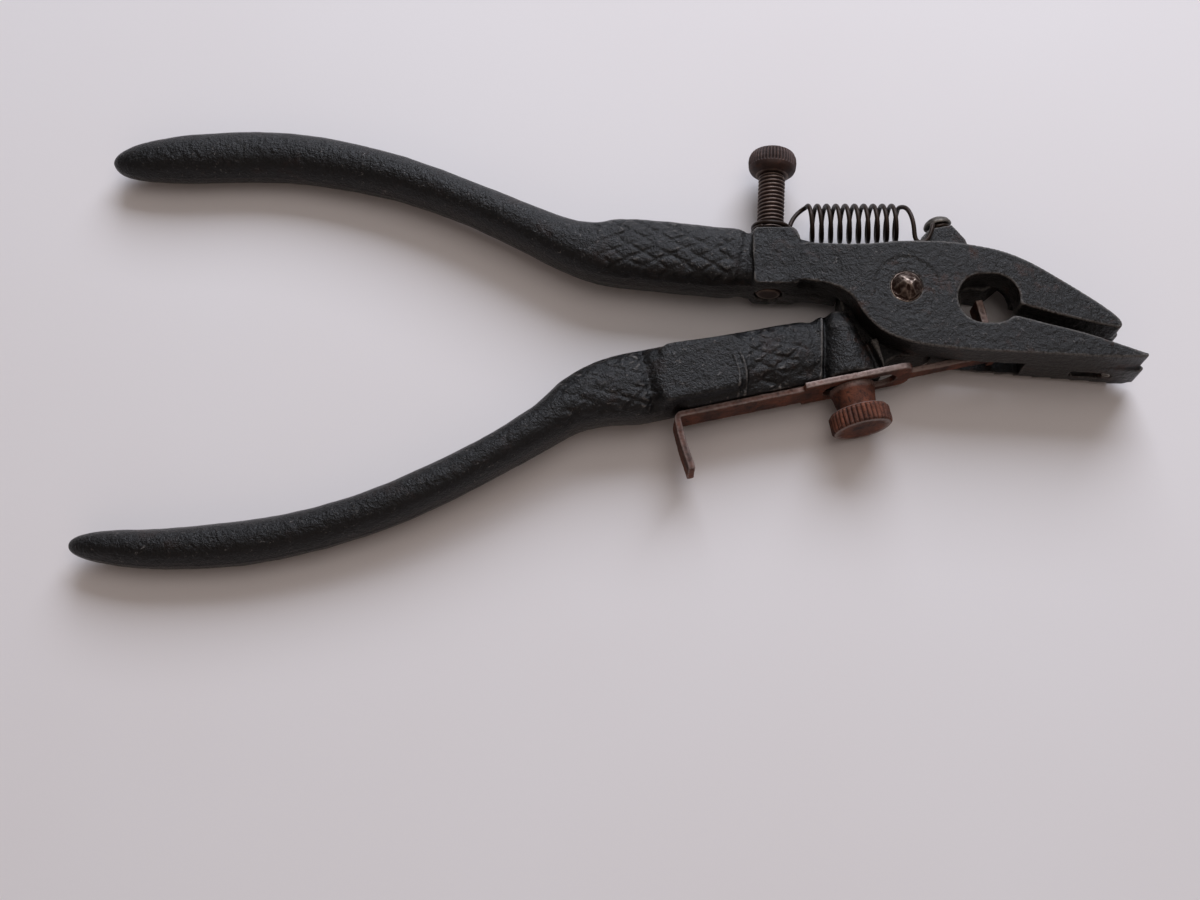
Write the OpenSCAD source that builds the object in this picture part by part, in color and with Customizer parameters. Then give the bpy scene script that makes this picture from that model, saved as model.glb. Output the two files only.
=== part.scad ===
// Saw set pliers: a cast frame lever with guide jaw and anvil jaw, a setting lever
// riveted behind it, a stop screw, a return spring and a sliding depth gauge.
// Millimetres. The origin is on the pivot axis, in the plane the tool rests on; +Z is the
// front, +X points to the jaws and the frame lever's handle lies on the +Y side.

/* [Head] */
// Thickness of the head from back to front
head_t = 15; // [14.5:0.1:15.5]
// Thickness of the front plate, which carries both fixed jaws
plate_t = 6.2; // [5.9:0.1:6.4]
// Radius of the setting lever's disc
disc_r = 11.5; // [11.2:0.1:11.6]
// Gap around the setting lever where it moves past the frame
lever_gap = 0.5; // [0.4:0.05:0.6]
// Width of the saw slot between the guide jaw and the anvil jaw at the throat
slot_w = 2.3; // [2:0.1:2.6]

/* [Rivet and screws] */
// Radius of the pivot rivet's shank
rivet_r = 3; // [2.8:0.1:3.2]
// Radial clearance of a running fit
run_fit = 0.05; // [0.03:0.01:0.08]
// Radius of the stop screw and of the gauge screw
screw_r = 2.6; // [2.4:0.05:2.7]
// Radius of the stop screw's knob
stop_knob_r = 4.7; // [4.4:0.05:4.9]
// Radius of the gauge screw's knob
gauge_knob_r = 5.8; // [5.5:0.1:6]
// Length of stop screw between the boss and the knob
stop_shown = 12.4; // [11:0.1:13]
// Lean of the stop screw towards the jaws, in degrees
stop_lean = 3.5; // [2:0.5:4]

/* [Spring] */
// Radius of the spring from its axis to the middle of the wire
coil_r = 3.5; // [3.3:0.1:3.6]
// Radius of the spring wire
wire_r = 0.44; // [0.35:0.01:0.46]
// Number of turns
coil_turns = 10; // [9:1:11]

/* [Gauge] */
// Thickness of the gauge strip
strip_t = 1.2; // [1:0.1:1.4]
// Height at which the gauge strip and its screw are centred
gauge_z = 7; // [6.8:0.1:7.2]
// Angle of the gauge strip to the X axis, in degrees
gauge_angle = 12; // [11.5:0.5:12.5]

/* [Hidden] */

iron = "#2b2b2d";
worn_iron = "#3a3938";
rust = "#6b4433";
bright_steel = "#8d8a84";
spring_steel = "#3d332e";

plate_z = head_t - plate_t;
lever_low = 0.3;
lever_high = plate_z - 0.3;
recess_r = disc_r + lever_gap;
grip_z = 7.2;
round_fn = 48;

// Throat: a hole with round ends, centred between the jaws' roots
throat_r = 4.85;
throat_y = -2.3;
throat_x = [14.3, 16.1];

// Saw slot: its lower edge is the top of the anvil jaw
anvil_edge = [[18.8, -5.7], [20.6, -5.9], [25, -7.15], [32.3, -9.1], [37.5, -10.9], [42.8, -12.9]];
anvil_slope = -19.5;
anvil_mid = [37.4, -10.85];
anvil_len = 7;
anvil_t = 1.5;
anvil_drop = 0.9;
anvil_rivet_r = 0.8;

// Punch at the nose of the setting jaw
punch_x = 38.3;
punch_z = 4.6;
punch_r = 1.6;
punch_low = -8.1;
lever_stroke = 4;

// Rivet
spot_r = 6.3;
spot_deep = 0.15;
dome_r = 2.6;
dome_h = 1.7;
tail_r = 5;
tail_h = 1.6;

// Stop screw: its frame stands on the boss with +Y along the screw, away from the lever
stop_at = [-24.3, 13.8, grip_z];
stop_below = 12.2;
stop_knob_h = 5.4;

// Gauge: u runs along the strip towards the jaws and v away from the pivot
strip_v = 13.5;
gauge_u = -13.25;
gauge_bore = 9.5;
collar_len = 4.8;
gauge_knob_h = 3.8;
tail_u = -47.5;
wide_u = [-22.5, -1.9];
finger_u = 13.7;
finger_t = 1.4;
finger_v = 3.2;

// Spring
coil_x = [-17, 0.9];
coil_y = 16.4;
coil_z = 6.6;
lug_x = 8.7;
lug_top = 15.1;
lug_z = 5.4;
screw_lean = 11;

// ---- Outlines and sweeps ----

// A smooth curve through points of any dimension, with steps pieces between each two
function curve_point(p, i, t) =
    let (last = len(p) - 1,
         a = p[max(i - 1, 0)],
         b = p[i],
         c = p[min(i + 1, last)],
         d = p[min(i + 2, last)])
    0.5 * (2 * b + (c - a) * t + (2 * a - 5 * b + 4 * c - d) * t * t
        + (3 * b - a - 3 * c + d) * t * t * t);

function curve(p, steps) = [
    for (i = [0 : len(p) - 2]) for (k = [0 : steps - 1]) curve_point(p, i, k / steps),
    p[len(p) - 1]
];

function signed_power(value, power) = sign(value) * pow(abs(value), power);

// One ring of a handle: a squared oval set square to the handle's run.
// A station is [x, y, z, half width, half thickness, squareness].
function ring(station, turn, sides) = [
    for (i = [0 : sides - 1])
        let (angle = 360 * i / sides,
             across = station[3] * signed_power(cos(angle), 2 / station[5]),
             up = station[4] * signed_power(sin(angle), 2 / station[5]))
        [station[0] - across * sin(turn), station[1] + across * cos(turn), station[2] + up]
];

function run_angle(s, i) =
    let (a = s[max(i - 1, 0)], b = s[min(i + 1, len(s) - 1)])
    atan2(b[1] - a[1], b[0] - a[0]);

// Faces that join rings of points into a closed skin
function skin_faces(rings, sides) = concat(
    [[for (i = [0 : sides - 1]) i]],
    [for (k = [0 : rings - 2]) for (i = [0 : sides - 1])
        [k * sides + i, (k + 1) * sides + i,
         (k + 1) * sides + (i + 1) % sides, k * sides + (i + 1) % sides]],
    [[for (i = [sides - 1 : -1 : 0]) (rings - 1) * sides + i]]
);

module handle(stations, steps = 2, sides = 16) {
    s = curve(stations, steps);
    points = [for (i = [0 : len(s) - 1]) each ring(s[i], run_angle(s, i), sides)];
    polyhedron(points, skin_faces(len(s), sides), convexity = 6);
}

module slab(low, high) {
    translate([0, 0, low]) linear_extrude(high - low, convexity = 6) children();
}

module throat() {
    for (x = throat_x) translate([x, throat_y]) circle(throat_r, $fn = 64);
    translate([throat_x[0], throat_y - throat_r]) square([throat_x[1] - throat_x[0], 2 * throat_r]);
}

// Places children in the gauge's frame: X along the strip, Y away from the pivot, Z down
module gauge_frame() {
    rotate([0, 0, gauge_angle]) translate([0, 0, gauge_z]) rotate([180, 0, 0]) children();
}

// Places children on the gauge screw's axis, with +Z away from the pivot
module gauge_axis() {
    gauge_frame() translate([gauge_u, strip_v, 0]) rotate([-90, 0, 0]) children();
}

// Places children on the stop screw's axis, with +Z towards the knob
module stop_axis() {
    translate(stop_at) rotate([0, 0, -stop_lean]) rotate([-90, 0, 0]) children();
}

// Places children on the anvil jaw's face, with +X along the jaw and +Y out of it
module anvil_frame() {
    translate([anvil_mid[0], anvil_mid[1], 0]) rotate([0, 0, anvil_slope]) children();
}

// ---- Frame lever ----

frame_handle = [
    [-152.4, 29.4, 5.2, 0.7, 0.8, 2], [-151.3, 29.7, 5, 2.1, 2.2, 2], [-148.4, 30.1, 5, 3.4, 3.4, 2],
    [-143.5, 30.5, 5, 4.3, 4.3, 2], [-136, 31, 5, 4.8, 4.8, 2.1], [-124, 31.4, 5, 5, 4.9, 2.1],
    [-112, 30.3, 5.3, 4.8, 4.9, 2.1], [-96, 26.3, 5.9, 4.2, 5.1, 2.2], [-80.3, 19.9, 6.5, 3.9, 5.3, 2.3],
    [-66, 12.9, 6.9, 4.5, 5.5, 2.5], [-60.8, 10.9, 7.1, 5.1, 5.6, 2.6], [-57, 10, 7.2, 5.7, 5.7, 2.8],
    [-53.4, 9.9, 7.2, 6.3, 5.7, 3], [-46, 9.3, 7.2, 6.5, 5.7, 3], [-35, 8.1, 7.2, 6.4, 5.8, 3],
    [-31.2, 7.8, 7.2, 6.2, 5.8, 3.2], [-30.3, 7.6, 7.2, 5.7, 5.3, 3.4], [-28.8, 7.5, 7.2, 5.7, 5.3, 3.4],
    [-27, 7, 7.2, 5.5, 5.8, 3.6], [-19.4, 6.2, 7.2, 5.2, 6.1, 3.8], [-15.6, 5.9, 7.2, 4.9, 6.1, 3.6],
    [-8, 4.9, 7.2, 5.6, 6.1, 3.4]
];

plate_top = [[-22, 9.2], [-17, 9.4], [-11, 8.8], [-6, 8.8], [0, 9.3], [8, 9.1], [14, 8.2], [19, 6.9],
    [24, 4.5], [30, 0.6], [35.5, -3.3], [38.4, -5.7]];
guide_nose = [[38.4, -5.7], [39.3, -6.9], [39.4, -7.8], [38.8, -8.3]];
plate_under = [[42, -14], [35.6, -13.95], [24.5, -13.3], [13.3, -12.7], [4, -11.75], [-1, -10.6],
    [-5.2, -8.5], [-8.2, -5.2], [-10.4, -1.5], [-14.3, 0.9], [-22, 2.4]];

// The guide jaw's lower edge runs parallel to the anvil jaw, one slot width above it
guide_edge = [[32.5, -9.15 + slot_w], [27, -7.65 + slot_w], [21.3, -5.9 + slot_w], [17, -5.9 + slot_w]];

module plate_outline() {
    difference() {
        polygon(concat(curve(plate_top, 3), curve(guide_nose, 3), guide_edge, [[17, -6.3]],
            curve(anvil_edge, 2), [[43.8, -13.2], [43.9, -13.8]], curve(plate_under, 3)));
        throat();
    }
}

module anvil_jaw_outline() {
    difference() {
        polygon(concat([[8.4, -8.6], [12, -7.3], [16, -7.2]], curve(anvil_edge, 2),
            [[44.3, -13.4], [44.7, -13.9], [44.2, -14.5], [42.4, -14.5], [35.6, -14], [24.5, -13.2],
                [13.3, -12.4], [5, -11.3]]));
        throat();
        circle(recess_r, $fn = 96);
    }
}

// The boss that takes the stop screw
module boss_outline(top) {
    polygon([[-28.2, 2], [-27.6, 1.4], [-19.9, 1.3], [-19.3, 1.8], [-19.3, top - 2], [-19.9, top - 0.6],
        [-20.6, top], [-27.4, top], [-28.1, top - 0.6]]);
}

module frame_lever() {
    color(iron) difference() {
        union() {
            difference() {
                union() {
                    handle(frame_handle);
                    slab(2.4, 10.6) boss_outline(13.8);
                    slab(2.4, 13.3) boss_outline(12.8);
                }
                translate([0, 0, -1]) cylinder(r = recess_r, h = plate_z + 1, $fn = 96);
            }
            difference() {
                slab(plate_z, head_t) plate_outline();
                // the front face falls away along the arm, down to the boss
                translate([-8, 0, head_t]) rotate([0, -6.9, 0]) translate([-20, -20, 0]) cube([20, 40, 5]);
            }
            slab(0, plate_z) anvil_jaw_outline();
        }
        // rivet hole and its spot face
        translate([0, 0, plate_z - 1]) cylinder(r = rivet_r, h = plate_t + 2, $fn = round_fn);
        translate([0, 0, head_t - spot_deep]) cylinder(r = spot_r, h = 2, $fn = 64);
        // tapped hole for the stop screw
        stop_axis() translate([0, 0, -stop_below - 4])
            cylinder(r = screw_r + run_fit, h = stop_below + 8, $fn = round_fn);
        // window in the anvil jaw's root for the gauge finger
        translate([8.6, -17, 2.6]) cube([14, 14.5, plate_z - 2.6]);
        // rebate for the anvil plate
        anvil_frame() translate([-anvil_len / 2, -anvil_t, -1]) cube([anvil_len, 5, plate_z + 0.8]);
        // shallow window that shows the anvil rivets' ends
        translate([31.8, -15.2, 3.4]) cube([6.2, 2.4, 2.6]);
        // holes for the anvil rivets
        anvil_rivet_places() cylinder(r = anvil_rivet_r, h = 8, center = true, $fn = 24);
        // chamfer along the back of the anvil jaw
        translate([25, -12.6, 0]) rotate([0, 0, -2]) rotate([45, 0, 0]) cube([60, 3, 3], center = true);
        translate([43.8, -13, 0]) rotate([0, 45, 0]) cube([3, 12, 3], center = true);
    }
}

module anvil_rivet_places() {
    for (x = [-2.3, 2.1]) anvil_frame() translate([x, 0, 4.9]) rotate([90, 0, 0]) children();
}

// A hardened plate whose face falls away towards the back, where the tooth is bent over
module anvil_plate() {
    color(bright_steel) difference() {
        anvil_frame() translate([anvil_len / 2, 0, 0]) rotate([0, -90, 0])
            linear_extrude(anvil_len)
                polygon([[0.2, -anvil_t], [plate_z - 0.2, -anvil_t], [plate_z - 0.2, 0],
                    [plate_z - 3, 0], [0.2, -anvil_drop]]);
        anvil_rivet_places() cylinder(r = anvil_rivet_r, h = 8, center = true, $fn = 24);
    }
}

module anvil_rivets() {
    color(bright_steel) anvil_rivet_places()
        translate([0, 0, 0.55]) cylinder(r = anvil_rivet_r, h = 2.1, $fn = 24);
}

// The rivet holds the two levers together: a hammered dome in front and a flat tail behind
module pivot_rivet() {
    color(bright_steel) rotate_extrude($fn = 64) polygon(concat(
        [[0, 0], [tail_r, 0], [tail_r, tail_h - 0.4], [tail_r - 0.4, tail_h], [rivet_r, tail_h],
         [rivet_r, head_t - spot_deep]],
        [for (a = [0 : 15 : 90])
            [dome_r * cos(a), head_t - spot_deep + dome_h * sin(a)]]));
}

// ---- Stop screw ----

module stop_screw() {
    color(rust) stop_axis() translate([0, 0, -stop_below - 0.2])
        cylinder(r = screw_r, h = stop_below + 0.2 + stop_shown, $fn = round_fn);
}

module stop_knob() {
    r = stop_knob_r;
    h = stop_knob_h;
    color(rust) stop_axis() translate([0, 0, stop_shown + 0.05]) rotate_extrude($fn = 64)
        polygon([[0, 0], [r - 1.5, 0], [r - 0.6, 0.6], [r - 0.1, 1.6], [r, 2.6], [r - 0.1, h - 1.9],
            [r - 0.6, h - 0.8], [r - 1.5, h - 0.25], [r - 2.6, h], [0, h]]);
}

// ---- Setting lever ----

lever_handle = [
    [-154.6, -47.2, 4.9, 0.7, 0.8, 2], [-153.4, -47.2, 4.8, 1.7, 1.9, 2], [-150.5, -47.3, 4.8, 2.6, 3.2, 2],
    [-145, -47.6, 4.8, 3.3, 4.2, 2], [-137, -47.8, 4.8, 3.7, 4.6, 2.1], [-123, -46.8, 4.9, 4.1, 4.7, 2.1],
    [-108.4, -43.9, 5.3, 3.9, 4.8, 2.1], [-94, -39, 5.9, 3.9, 5, 2.2], [-79.2, -31.7, 6.4, 3.7, 5.2, 2.3],
    [-67.5, -24.8, 6.9, 3.9, 5.4, 2.4], [-62.4, -21, 7.1, 4.9, 5.6, 2.6], [-56.5, -18.6, 7.2, 6, 5.7, 2.8],
    [-51, -17.6, 7.2, 6.6, 5.7, 3], [-45.8, -16.5, 7.2, 6.6, 5.7, 3], [-30.7, -13.4, 7.2, 6.4, 5.7, 3],
    [-18.6, -10.9, 7.2, 6.1, 5.6, 3], [-17.6, -10.7, 7.2, 5.6, 5, 3.2], [-15.6, -10.3, 7.2, 5.6, 5, 3.2],
    [-14.6, -10, 7.2, 6.2, 5.4, 3.4], [-10.5, -9.2, 7.2, 6, 5.2, 3.4]
];

jaw_top = [[2, 10.5], [8, 10.2], [14, 9.4], [19, 8], [24, 5.7], [30, 2.2], [35, -1.4], [38.6, -4.3],
    [40.2, -6.2], [40.5, -7.2]];
jaw_under = [[40, -7.7], [36.4, -7], [34.4, -3.8], [31.7, -1.9], [28.3, -0.5], [26, 0.3], [22, 0.9]];
throat_relief = [[22.1, 1.7], [21.6, 3.6], [20.3, 5], [17.6, 2.7], [15.7, 1.7], [13.2, 2.1], [11, 1.5]];

module setting_jaw_outline() {
    polygon(concat(curve(jaw_top, 3), jaw_under, throat_relief, [[2, 0]]));
}

module shoulder_outline() {
    polygon([[-14.8, -4.4], [-14, -3.4], [-11, -3.2], [-10.3, -3.9], [-8.4, -8.2], [-6, -13.4],
        [-6, -15], [-14.8, -16.9]]);
}

module neck_outline() {
    polygon([[-15, -6], [-12, -5], [-10, -4.4], [-3, -3], [-1, -11.2], [-6, -14.6], [-15, -16.4]]);
}

module setting_lever() {
    color(iron) difference() {
        union() {
            handle(lever_handle);
            translate([0, 0, lever_low]) cylinder(r = disc_r, h = lever_high - lever_low, $fn = 96);
            slab(lever_low, lever_high) setting_jaw_outline();
            slab(1, lever_high) neck_outline();
            slab(1.2, 12.6) shoulder_outline();
            // lug for the spring screw
            slab(lug_z - 3.2, lug_z + 3)
                polygon([[3.4, 9], [4.6, 12.8], [6.3, lug_top - 0.48], [10.6, lug_top + 0.36],
                    [13.1, 12.4], [14.2, 8]]);
            // flat seat for the gauge strip
            gauge_frame() translate([-45, strip_v - 6, -4.4]) cube([38, 5.95, 8.6]);
            // smooth pad on the front of the grip
            slab(10, 13.1) polygon([[-45.8, -11.4], [-44.8, -10.4], [-32.5, -8.5], [-30.4, -10],
                [-29.2, -13.6], [-30.2, -18], [-32, -19.2], [-44.6, -22], [-45.8, -21]]);
        }
        // pivot hole and the counterbore for the rivet's tail
        cylinder(r = rivet_r + run_fit, h = head_t, $fn = round_fn);
        translate([0, 0, -1]) cylinder(r = tail_r + 0.3, h = tail_h + 1.3, $fn = 64);
        // tapped hole for the gauge screw
        gauge_axis() translate([0, 0, -gauge_bore])
            cylinder(r = screw_r + run_fit, h = gauge_bore + 2, $fn = round_fn);
        // hole for the punch, and the hole across it for the pin
        punch_place() cylinder(r = punch_r, h = 12, $fn = 32);
        translate([punch_x, punch_low + 3.2, -1]) cylinder(r = 0.6, h = 12, $fn = 24);
        // tapped hole for the spring screw
        spring_screw_place() translate([0, 0, -4]) cylinder(r = 1.2, h = 8, $fn = 24);
    }
}

// On the punch's axis, with +Z up from its striking end
module punch_place() {
    translate([punch_x, punch_low, punch_z]) rotate([-90, 0, 0]) children();
}

// The punch's striking end is ground to lie parallel to the anvil's face when the lever is closed
module setting_punch() {
    color(bright_steel) difference() {
        punch_place() translate([0, 0, -1]) cylinder(r = punch_r, h = 5.4, $fn = 32);
        translate([punch_x, punch_low, 0]) rotate([0, 0, anvil_slope + lever_stroke])
            translate([-5, -5, 0]) cube([10, 5, 10]);
        translate([punch_x, punch_low + 3.2, -1]) cylinder(r = 0.6, h = 12, $fn = 24);
    }
}

module punch_pin() {
    color(bright_steel) translate([punch_x, punch_low + 3.2, lever_low + 0.2])
        cylinder(r = 0.6, h = lever_high - lever_low - 0.4, $fn = 24);
}

// ---- Return spring and its screw ----

module spring_screw_place() {
    translate([lug_x, lug_top, lug_z]) rotate([-90, 0, screw_lean]) children();
}

module spring_screw() {
    color(worn_iron) spring_screw_place() difference() {
        rotate_extrude($fn = 32) polygon([[0, -3.6], [1.2, -3.6], [1.2, 1.15], [2.7, 1.15], [2.7, 1.6],
            [2.3, 2.3], [1.5, 2.8], [0, 3]]);
        translate([-3, -0.3, 2.2]) cube([6, 0.6, 2]);
    }
}

// The wire's route, each point with a direction that sets the rings square to the wire.
// An eye lies square to a screw that leans by lean degrees.
function eye_points(centre, radius, from, to, count, lean) = [
    for (i = [0 : count])
        let (a = from + (to - from) * i / count)
        [centre + radius * [cos(a) * cos(lean), cos(a) * sin(lean), sin(a)], [-sin(lean), cos(lean), 0]]
];

function coil_points(per_turn) = [
    for (i = [0 : coil_turns * per_turn])
        let (a = 360 * i / per_turn, run = i / (coil_turns * per_turn))
        [[coil_x[0] + (coil_x[1] - coil_x[0]) * run, coil_y + coil_r * cos(a), coil_z + coil_r * sin(a)],
         [1, 0, 0]]
];

function wire_ring(before, here, after, face, sides) =
    let (run = (after - before) / norm(after - before),
         side = cross(run, face) / norm(cross(run, face)),
         up = cross(side, run))
    [for (i = [0 : sides - 1]) here + wire_r * (cos(360 * i / sides) * side + sin(360 * i / sides) * up)];

module wire(route, sides = 6) {
    last = len(route) - 1;
    points = [for (i = [0 : last])
        each wire_ring(route[max(i - 1, 0)][0], route[i][0], route[min(i + 1, last)][0], route[i][1], sides)];
    polyhedron(points, skin_faces(len(route), sides), convexity = 10);
}

module return_spring() {
    right_eye = [lug_x - 0.13, lug_top + 0.65, lug_z];
    color(spring_steel) wire(concat(
        [for (i = [0 : 26])
            let (a = -240 + 600 * i / 26, up = 0.5 + 1.2 * i / 26)
            [stop_at + [3.5 * cos(a) + 0.3, up - 0.2 * cos(a), 3.5 * sin(a)], [0.06, 1, 0]]],
        [[[-20.1, 16.6, 6.8], [-0.3, 1, -0.2]], [[-19.2, 18.3, 6.1], [0.4, 0.6, -0.7]],
         [[-18, 19.6, 5.7], [0.7, 0.3, -0.6]]],
        coil_points(12),
        [[[1.9, 19.1, 8.7], [1, 0.3, 0]], [[2.7, 16.9, 9.6], [1, 0.3, 0.1]], [[3.1, 14.4, 9.6], [1, 0, 0.1]],
         [[3.1, 12.4, 9.1], [0.9, 0.1, 0.4]], [[3.8, 11.3, 9], [0.4, 0.4, 0.8]],
         [[5.2, 11.5, 9.05], [-0.2, 0.25, 0.95]], [[6.3, 13.2, 9], [-0.38, 0.22, 0.9]],
         [[6.75, 15, 9], [-0.3, 0.45, 0.82]], [[7, 15.7, 8.1], [-0.16, 0.97, 0.2]]],
        eye_points(right_eye, 1.9, 130, -150, 12, screw_lean)));
}

// ---- Gauge ----

module strip_outline() {
    difference() {
        union() {
            translate([tail_u, -3.2]) square([wide_u[0] - tail_u + 3, 6.6]);
            translate([wide_u[0], -4.9]) square([wide_u[1] - wide_u[0] - 2, 9.6]);
            for (y = [-2.9, 2.7]) translate([wide_u[1] - 2, y]) circle(2, $fn = 32);
            translate([wide_u[1] - 2.5, -2.9]) square([2.5, 5.6]);
            translate([wide_u[1] - 1, -1.3]) square([finger_u + finger_t - wide_u[1] + 1, 3.3]);
        }
        for (x = [-15.9, -7.4]) translate([x, 0]) circle(screw_r + 0.2, $fn = 32);
        translate([-15.9, -screw_r - 0.2]) square([8.5, 2 * screw_r + 0.4]);
    }
}

// A slotted strip with its tail bent down as a thumb tab and its tip bent up as a finger
module gauge_plate() {
    color(rust) gauge_frame() {
        translate([0, strip_v + strip_t, 0]) rotate([90, 0, 0]) linear_extrude(strip_t) strip_outline();
        translate([tail_u, strip_v, -3.2]) cube([1.3, 11.4, 6.6]);
        translate([finger_u, finger_v, -1.5]) cube([finger_t, strip_v + strip_t - finger_v, 5.6]);
    }
}

module gauge_collar() {
    color(rust) gauge_axis() translate([0, 0, strip_t]) rotate_extrude($fn = 48)
        polygon([[screw_r + run_fit, 0], [4.3, 0], [4.3, 0.8], [3.6, collar_len - 0.6],
            [3.6, collar_len - 0.05], [screw_r + run_fit, collar_len - 0.05]]);
}

module gauge_screw() {
    color(rust) gauge_axis() translate([0, 0, 0.6 - gauge_bore])
        cylinder(r = screw_r, h = gauge_bore - 0.6 + strip_t + collar_len, $fn = round_fn);
}

module gauge_knob() {
    r = gauge_knob_r;
    h = gauge_knob_h;
    color(rust) gauge_axis() translate([0, 0, strip_t + collar_len]) rotate_extrude($fn = 64)
        polygon([[0, 0], [r - 0.5, 0], [r, 0.5], [r, h - 0.5], [r - 0.5, h], [0, h]]);
}

frame_lever();
anvil_plate();
anvil_rivets();
pivot_rivet();
stop_screw();
stop_knob();
setting_lever();
setting_punch();
punch_pin();
spring_screw();
return_spring();
gauge_plate();
gauge_collar();
gauge_screw();
gauge_knob();
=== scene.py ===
# Saw set pliers on a pale board, lying with the front of the head up.
# Metres throughout, in the part's own frame: the origin is on the pivot axis, +X points to
# the jaws, +Y to the frame lever's side and +Z up from the board.

import math

import bpy
import numpy as np
from mathutils import Matrix, Vector


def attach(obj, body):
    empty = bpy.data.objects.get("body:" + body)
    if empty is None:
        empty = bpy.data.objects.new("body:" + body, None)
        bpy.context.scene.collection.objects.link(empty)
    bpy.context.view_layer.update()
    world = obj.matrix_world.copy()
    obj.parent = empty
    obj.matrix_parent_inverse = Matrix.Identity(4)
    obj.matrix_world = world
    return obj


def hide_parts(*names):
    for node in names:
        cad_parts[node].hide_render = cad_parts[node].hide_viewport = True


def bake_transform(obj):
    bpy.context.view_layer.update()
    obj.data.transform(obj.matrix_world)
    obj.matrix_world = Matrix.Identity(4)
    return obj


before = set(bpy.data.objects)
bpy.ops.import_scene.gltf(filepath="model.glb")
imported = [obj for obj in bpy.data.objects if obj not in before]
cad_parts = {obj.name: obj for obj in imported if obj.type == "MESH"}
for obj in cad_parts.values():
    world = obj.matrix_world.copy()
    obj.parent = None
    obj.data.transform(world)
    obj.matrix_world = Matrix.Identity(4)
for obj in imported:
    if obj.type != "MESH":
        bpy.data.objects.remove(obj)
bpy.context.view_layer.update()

MM = 0.001

# ---- Camera ----
# Looks down on the tool from the lower handle's side, as it lies on the board, from a third of
# a metre away. The whole tool is sharp.

camera = bpy.data.objects.new("camera", bpy.data.cameras.new("camera"))
bpy.context.scene.collection.objects.link(camera)
camera.location = (-57.01 * MM, -121.46 * MM, 308.06 * MM)
camera.rotation_euler = (math.radians(17), 0, 0)
camera.data.lens = 51
camera.data.sensor_width = 36
camera.data.clip_start = 0.01
camera.data.clip_end = 5
bpy.context.scene.camera = camera
bpy.context.scene.view_settings.view_transform = "Standard"


# ---- Board ----
# A board painted matt white and gone slightly pink, with faint clouding. It is the stage
# that the tool lies on and no part of it.

def linear(code):
    """Linear RGBA of an sRGB hex colour"""
    parts = [int(code[i:i + 2], 16) / 255 for i in (1, 3, 5)]
    return [c / 12.92 if c <= 0.04045 else ((c + 0.055) / 1.055) ** 2.4 for c in parts] + [1]


def add(tree, kind, inputs=None, **settings):
    """Adds a node, applies its settings, and links or fills its inputs"""
    made = tree.nodes.new(kind)
    for name, value in settings.items():
        setattr(made, name, value)
    for name, value in (inputs or {}).items():
        if isinstance(value, bpy.types.NodeSocket):
            tree.links.new(value, made.inputs[name])
        else:
            made.inputs[name].default_value = value
    return made


def finish(name, **fixed):
    """A new material, its node tree, its shader and the position in the part's frame"""
    material = bpy.data.materials.new(name)
    material.use_nodes = True
    tree = material.node_tree
    shader = tree.nodes["Principled BSDF"]
    for socket, value in fixed.items():
        shader.inputs[socket.replace("_", " ")].default_value = value
    place = add(tree, "ShaderNodeTexCoord").outputs["Object"]
    return material, tree, shader, place


board_paint, tree, shader, place = finish("matt_white_board_paint", Roughness=0.6)
clouds = add(tree, "ShaderNodeTexNoise", {"Vector": place, "Scale": 9, "Detail": 3})
tint = add(tree, "ShaderNodeMix", {0: clouds.outputs["Fac"], 6: linear("#e3dedd"), 7: linear("#e9e7e8")},
    data_type="RGBA")
tree.links.new(tint.outputs[2], shader.inputs["Base Color"])
roller = add(tree, "ShaderNodeTexNoise", {"Vector": place, "Scale": 900, "Detail": 4})
stipple = add(tree, "ShaderNodeBump", {"Height": roller.outputs["Fac"], "Strength": 0.25,
    "Distance": 0.00003})
tree.links.new(stipple.outputs["Normal"], shader.inputs["Normal"])

BOARD_HALF = 0.9
BOARD_TOP = -0.00002    # a hair below the tool's back, so that the two never flicker
board_mesh = bpy.data.meshes.new("board")
board_mesh.from_pydata([(x * BOARD_HALF, y * BOARD_HALF, BOARD_TOP)
    for x, y in ((-1, -1), (1, -1), (1, 1), (-1, 1))], [], [(0, 1, 2, 3)])
board_mesh.materials.append(board_paint)
board = bpy.data.objects.new("board", board_mesh)
bpy.context.scene.collection.objects.link(board)

# ---- Light ----
# A wide cool window beyond the frame lever, a pale ceiling, a weak warm bounce from the near
# side and a dim warm room.

for name, at, aim, size, power, colour in [
        ("window", (0.12, 0.75, 0.6), (-0.03, 0, 0), (0.8, 0.6), 10, "#edf2ff"),
        ("ceiling", (0.1, 0.1, 1.0), (0, 0, 0), (0.7, 0.7), 2.0, "#fff4ee"),
        ("bounce", (-0.1, -0.7, 0.5), (-0.05, 0, 0), (0.8, 0.6), 0.5, "#ffdcc8")]:
    lamp = bpy.data.lights.new(name, "AREA")
    lamp.shape = "RECTANGLE"
    lamp.size, lamp.size_y = size
    lamp.energy = power
    lamp.color = linear(colour)[:3]
    lamp_object = bpy.data.objects.new(name, lamp)
    bpy.context.scene.collection.objects.link(lamp_object)
    lamp_object.location = at
    lamp_object.rotation_euler = (Vector(aim) - Vector(at)).to_track_quat("-Z", "Y").to_euler()
room = bpy.data.worlds.new("room")
bpy.context.scene.world = room
room.use_nodes = True
glow = room.node_tree.nodes["Background"]
glow.inputs["Color"].default_value = linear("#f6e8e2")
glow.inputs["Strength"].default_value = 0.15

# ---- Frame lever ----
# A grey iron casting, one piece from the tip of the handle to the two fixed jaws, dipped in
# black japan and baked. The grip is cast with a diamond pattern, the front of the head was
# milled flat before it was japanned, and use has worn the black thin there.

VOXEL = 0.26 * MM


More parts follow.
